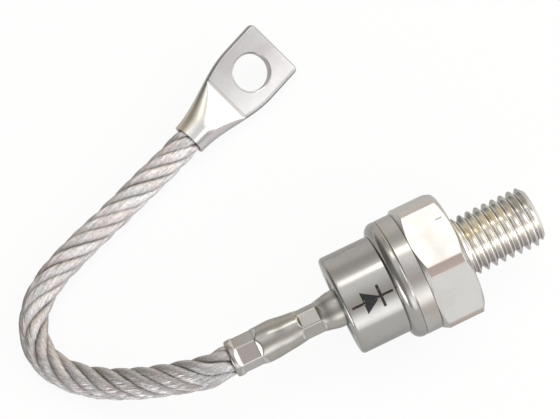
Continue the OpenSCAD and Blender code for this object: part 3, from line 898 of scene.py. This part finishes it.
# %% Print the symbol
MARK_H, MARK_TURN, INK_ROUGH = 19.5, -31.0, 0.42
STEM_HALF, STEM_REACH, BAR_AT, BAR_HALF, ARROW_HALF, ARROW_LEN = 0.25, 4.2, 1.75, 0.28, 2.2, 3.4
PRINT_EDGE = 0.03
printed_steel = plated_metal("printed_steel", 0.38, 0.02, 0.16, rings=0.25, rings_per_mm=5.0)
tree, shader, where, bare_tone = reopen(printed_steel)
x, y, z = millimetres(tree, where)
ahead = math_of(tree, "ADD", x, MARK_H)
off = math_of(tree, "SUBTRACT", math_of(tree, "ARCTAN2", y, z), math.radians(MARK_TURN))
off = math_of(tree, "ABSOLUTE", times(tree, off, CAP_R))


def block(wide, at, long):
    """A printed rectangle: half its width off the symbol's line, its middle and half its length along it."""
    across = within(tree, off, 0.0, wide, PRINT_EDGE)
    return times(tree, across, within(tree, ahead, at, long, PRINT_EDGE))


stem, bar = block(STEM_HALF, 0.0, STEM_REACH), block(ARROW_HALF, BAR_AT, BAR_HALF)
slant = math_of(tree, "ADD", times(tree, off, ARROW_LEN / ARROW_HALF), ahead)
arrow = times(tree, between(tree, slant, 1.63, 1.57), between(tree, ahead, -1.83, -1.77))
ink = math_of(tree, "MAXIMUM", math_of(tree, "MAXIMUM", stem, bar), arrow)
ink = times(tree, ink, between(tree, noise_of(tree, where, 2400.0), 0.30, 0.36))
bare_rough = shader["Roughness"].links[0].from_socket
painted(tree, shader, bare_tone, [(ink, (0.012, 0.012, 0.014, 1.0))])
rough = math_of(tree, "MAXIMUM", bare_rough, times(tree, ink, INK_ROUGH))
tree.links.new(rough, shader["Roughness"])
tree.links.new(math_of(tree, "SUBTRACT", 1.0, ink), shader["Metallic"])
turned_piece("drawn_cap", cap_outline, "plated_steel", ["cap"], printed_steel)

# %% [markdown]
# ## The crimped sleeve
# The terminal is a tube that is squeezed onto the inner lead and onto the rope by a six-sided tool, once
# near the cap and once at the mouth. Between the two the tube keeps its round bulge. The skin is a grid of
# radii: the round tube, or the plane of the nearest flat, whichever is less, with a soft corner between.
# Painted highlights lighten the pressed slopes, and three flats at the mouth a little. A dark patch painted
# on the top of the bulge splits its highlight in two.

# %% Press the sleeve
TUBE_R, WAIST_R, TUBE_FOOT, LIP_H, LIP_R = 3.8, 3.2, 20.5, 48.2, 0.5
NECK_TO, WAIST_FROM, WAIST_TO, SWELL = END_H + 0.9, END_H + 4.5, END_H + 8.1, 6.0
INNER_R, INNER_TO, SOCKET_R, SOCKET_FROM, MOUTH_R = 2.05, 34.4, 2.45, 41.3, 3.15
DARK_PATCH_AT = END_H + 12.4
CRIMPS = (
    # from, length, half width across flats, turn,
    # run of the slope to the cap, run of the slope to the rope, painted highlight on the flats
    (WAIST_FROM, 3.6, 2.75, 52.5, 1.3, 1.9, 0.0),
    (END_H + 17.6, 3.8, 3.125, 31, 1.0, 1.0, 0.45),
)
SOFT = 0.05


def round_radius(h):
    """Radius of the sleeve where no flat is pressed: neck, waist and bulge."""
    down = eased((h - NECK_TO) / (WAIST_FROM - NECK_TO))
    up = eased((h - WAIST_TO) / SWELL)
    return TUBE_R - (TUBE_R - WAIST_R) * (down - up)


def pressed(h, a):
    """Radius of the sleeve at a height and an angle, and how much painted highlight it gets."""
    uneven = 0.05 * math.sin(1.15 * (h - WAIST_TO) + 0.8 * math.sin(a)) + 0.02 * math.sin(3 * a - 0.9 * h)
    bare = round_radius(h) - 0.07 + uneven * eased((h - WAIST_TO) / 2)
    reaches, painted_sheen = [bare], 0.0
    for start, long, flat, turn, run_in, run_out, flat_sheen in CRIMPS:
        rise = max((start - h) / run_in, (h - start - long) / run_out, 0.0)
        plane = flat + (TUBE_R - flat) * rise
        for number in range(6):
            away = math.cos(a - math.radians(turn + 60 * number))
            if away > 0.5 and plane < TUBE_R + 0.6:
                reaches.append(plane / away)
                if plane / away < bare + 0.02 and rise < 1:
                    painted_sheen = max(painted_sheen, 1.0 if rise > 0.2 else flat_sheen if number > 2 else 0.0)
    return soft_least(reaches, SOFT), painted_sheen


# %% Skin the sleeve
SKIN_AROUND = 144


def even(*pairs):
    """Rows of the skin that are plain circles, from (height, radius) pairs."""
    return [[pair] * SKIN_AROUND for pair in pairs]


plain, close = np.linspace(TUBE_FOOT, END_H + 2.6, 8), np.arange(END_H + 2.7, LIP_H - LIP_R, 0.12)
heights = np.concatenate([plain, close])
rows = even((INNER_TO, INNER_R), (TUBE_FOOT, INNER_R))
spread = [TURN * k / SKIN_AROUND for k in range(SKIN_AROUND)]
skin_of = [[pressed(h, a) for a in spread] for h in heights]
rows += [[(h, r) for r, _ in row] for h, row in zip(heights, skin_of)]
lip_from = [pressed(LIP_H - LIP_R, a)[0] for a in spread]
for t in np.radians(np.linspace(0, 90, 7)):
    rows.append([(LIP_H - LIP_R + LIP_R * math.sin(t), r - LIP_R * (1 - math.cos(t))) for r in lip_from])
rows += even((LIP_H, MOUTH_R), (LIP_H - BELL, SOCKET_R), (SOCKET_FROM, SOCKET_R))
points = [(-h, r * math.sin(a), r * math.cos(a)) for row in rows for (h, r), a in zip(row, spread)]
faces = skin(len(rows), SKIN_AROUND)
sleeve = make_piece("crimped_sleeve", points, faces, "nickel_plate", ["terminal_tube"], 50.0)
told(sleeve)

# %% Painted highlights and a painted dark patch on the sleeve
# painted highlight: the slopes of the crimps, and three flats of the mouth crimp, are lightened
painted_sheen = np.zeros((len(rows), SKIN_AROUND), np.float32)
painted_sheen[2:2 + len(heights)] = [[bright for _, bright in row] for row in skin_of]
sleeve.data.attributes.new("painted_sheen", "FLOAT", "POINT").data.foreach_set("value", painted_sheen.reshape(-1))
tree, shader, where, tone = reopen(sleeve_nickel)
x, y, z = millimetres(tree, where)
# painted shade: a dark patch on the top of the bulge splits its highlight in two
painted_dark_patch = times(
    tree, within(tree, x, -DARK_PATCH_AT, 1.0, 0.7), within(tree, y, -0.3, 0.9, 0.6),
    between(tree, z, 0.0, 1.0, 0.0, 0.6),
)
painted(tree, shader, tone, [(stored_value(tree, "painted_sheen"), grey(0.60, 0.01)), (painted_dark_patch, grey(0.17))])
sleeve.data.materials.append(sleeve_nickel)
print("rubbed and smudged", sleeve_nickel.name)

# %% [markdown]
# ## What is inside and at the seal
# The glass that insulates the terminal shows only as a dark ring at the end of the cap. The silicon disc,
# its two molybdenum discs, the white bead round its rim, the copper cup and the inner lead are closed in,
# but the part can be cut open, so each has its own finish too. These solids have the right shape already.

# %% Finishes of the seal and the die stack


def cloudy_finish(name, clouds_per_mm, clean, dulled, gloss, dull, **sockets):
    """A finish whose colour and roughness follow the clouds."""
    material, tree, shader, where = new_material(name, **sockets)
    cloud = place_group(tree, clouds_group, {"Where": where, "Clouds per mm": clouds_per_mm})["Clouds"]
    painted(tree, shader, clean, [(cloud, dulled)])
    tree.links.new(between(tree, cloud, 0.0, 1.0, gloss, dull), shader["Roughness"])
    return material


moly = plated_metal("lapped_molybdenum", 0.58, -0.006, 0.36, scratches=0.8, clouds=0.5)
silicon = plated_metal("polished_silicon", 0.34, -0.03, 0.10, scratches=0.1, clouds=0.3)
copper = cloudy_finish(
    "bare_copper", 0.4, (0.86, 0.50, 0.34, 1), (0.66, 0.34, 0.22, 1), 0.25, 0.38, Metallic=1.0,
)
glass = cloudy_finish(
    "seal_glass", 0.6, (0.05, 0.07, 0.065, 1), (0.03, 0.042, 0.04, 1), 0.08, 0.16, IOR=1.52, Coat_Weight=0.3,
)
bead = cloudy_finish("bead_rubber", 0.8, grey(0.80, 0.01), grey(0.70, 0.03), 0.45, 0.6)
inner_finish = {
    "glass_seal": glass, "lower_disc": moly, "upper_disc": moly, "silicon_die": silicon,
    "edge_coating": bead, "contact_cup": copper, "inner_lead": copper,
}
for node, material in inner_finish.items():
    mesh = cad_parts[node].data
    mesh.materials.clear()
    mesh.materials.append(material)
print("finished inside:", ", ".join(inner_finish))

# %% [markdown]
# ## Table and light
# Bright metal shows what stands round it, so the light is built the way a small product table is lit. A
# long narrow lamp hangs above and a little behind, soft ones stand to the right, to the front right and to
# the left, and a bright pair stands low at the front corners. The room is a ring of lighter and darker
# panels, which gives the metal its bands. The table is white paper that also glows, most of all as the
# camera sees it and less in reflections, and it still darkens where the diode stands in the light.

# %% The table
TABLE_HALF, TABLE_GAP, SEEN_GLOW, MIRRORED_GLOW = 3.0, 0.02, 0.9, 0.4
corners = np.array([(-1, -1, 0), (1, -1, 0), (1, 1, 0), (-1, 1, 0)]) * TABLE_HALF / MM
table = make_piece("table", corners + [0, 0, TABLE_Z - TABLE_GAP], [(0, 1, 2, 3)])
white = bpy.data.materials.new("table_white")
white.use_nodes = True
tree = white.node_tree
tree.nodes.clear()
ray = put(tree, "ShaderNodeLightPath").outputs
mirrored = math_of(tree, "MAXIMUM", ray["Is Glossy Ray"], ray["Is Transmission Ray"])
seen = times(tree, ray["Is Camera Ray"], SEEN_GLOW)
share = math_of(tree, "MAXIMUM", times(tree, mirrored, MIRRORED_GLOW), seen)
paper = put(tree, "ShaderNodeBsdfDiffuse", {"Color": (0.92, 0.92, 0.92, 1)}).outputs[0]
glow = put(tree, "ShaderNodeEmission", {"Color": (1, 1, 1, 1), "Strength": 1.0}).outputs[0]
both = put(tree, "ShaderNodeMixShader", {0: share, 1: paper, 2: glow}).outputs[0]
put(tree, "ShaderNodeOutputMaterial", {"Surface": both})
table.data.materials.append(white)
print("table at", TABLE_Z, "mm")

# %% The room
world = bpy.data.worlds.new("studio_room")
scene.world = world
world.use_nodes = True
tree = world.node_tree
apart = put(tree, "ShaderNodeSeparateXYZ", {0: put(tree, "ShaderNodeTexCoord").outputs["Generated"]}).outputs
around = between(tree, math_of(tree, "ARCTAN2", apart[1], apart[2]), -math.pi, math.pi)
ramp = put(tree, "ShaderNodeValToRGB", {0: around})
ROOM = [
    # degrees from straight up, less is to the front; red, green, blue
    (-180, 1.0, 1.0, 1.0), (-96, 1.55, 1.55, 1.55), (-88, 1.75, 1.75, 1.75), (-76, 2.4, 2.4, 2.4),
    (-64, 1.95, 1.95, 1.95), (-52, 1.02, 1.0, 0.98), (-39, 0.75, 0.64, 0.61), (-27, 0.79, 0.76, 0.74),
    (-15, 0.95, 0.95, 0.94), (-3, 1.25, 1.25, 1.25), (10, 1.3, 1.3, 1.28), (30, 1.17, 1.15, 1.12),
    (44, 0.69, 0.68, 0.66), (58, 0.66, 0.64, 0.61), (70, 0.92, 0.88, 0.82), (82, 0.98, 0.95, 0.90),
    (96, 1.0, 1.0, 1.0), (180, 1.0, 1.0, 1.0),
]
RIGHT_WALL, RIGHT_BACK = grey(1.0), grey(1.0, 0.12)
LEFT_WALL, LEFT_BACK = grey(0.36, 0.02), grey(0.22, 0.10)
stops = ramp.color_ramp.elements
stops[0].position, stops[1].position = 0.0, 1.0
for degrees, *_ in ROOM[1:-1]:
    stops.new(degrees / 360 + 0.5)
for stop, (_, *colour) in zip(stops, ROOM):
    stop.color = (*colour, 1.0)
back = between(tree, apart[1], 0.0, 0.3)
right_wall, left_wall = mixed(tree, back, RIGHT_WALL, RIGHT_BACK), mixed(tree, back, LEFT_WALL, LEFT_BACK)
room = mixed(tree, between(tree, apart[0], 0.15, 0.5), ramp.outputs[0], right_wall)
room = mixed(tree, between(tree, apart[0], -0.15, -0.5), room, left_wall)
room = mixed(tree, put(tree, "ShaderNodeLightPath").outputs["Is Camera Ray"], room, grey(1.0))
tree.links.new(room, tree.nodes["Background"].inputs["Color"])
print("room of", len(ROOM), "panels, darkest", min(min(colour) for _, *colour in ROOM))

# %% The lamps
LAMP_PIVOT, LAMP_AWAY = Vector((-0.02, 0.02, 0.0)), 0.6


def soft_lamp(name, towards, wide, tall, radiance, colour=(1, 1, 1), slide=0.0):
    """A rectangular lamp: radiance is how bright its own face is, and slide moves it to the right."""
    lamp = bpy.data.lights.new(name, "AREA")
    lamp.shape, lamp.size, lamp.size_y = "RECTANGLE", wide, tall
    lamp.energy = radiance * math.pi * wide * tall
    lamp.color = colour
    holder = bpy.data.objects.new(name, lamp)
    scene.collection.objects.link(holder)
    out = Vector(towards).normalized()
    turn = out.to_track_quat("Z", "Y").to_matrix().to_4x4()
    stands = LAMP_PIVOT + Vector((slide, 0.0, 0.0)) + out * LAMP_AWAY
    holder.matrix_world = Matrix.Translation(stands) @ turn
    holder.visible_camera = False
    print(name, "power", round(lamp.energy, 2), "W")


soft_lamp("top_lamp", (0.03, 0.334, 0.943), 0.36, 0.13, 2.35, (1, 0.98, 0.92), 0.18)
soft_lamp("right_lamp", (0.80, -0.24, 0.55), 0.28, 0.36, 1.45)
soft_lamp("front_right_lamp", (0.517, -0.756, 0.405), 0.20, 0.20, 1.9)
soft_lamp("left_lamp", (-0.93, -0.27, 0.25), 0.16, 0.16, 1.6)
soft_lamp("low_right_lamp", (0.84, -0.52, 0.14), 0.3, 0.2, 3.6)
soft_lamp("low_left_lamp", (-0.84, -0.52, 0.14), 0.3, 0.2, 3.6)
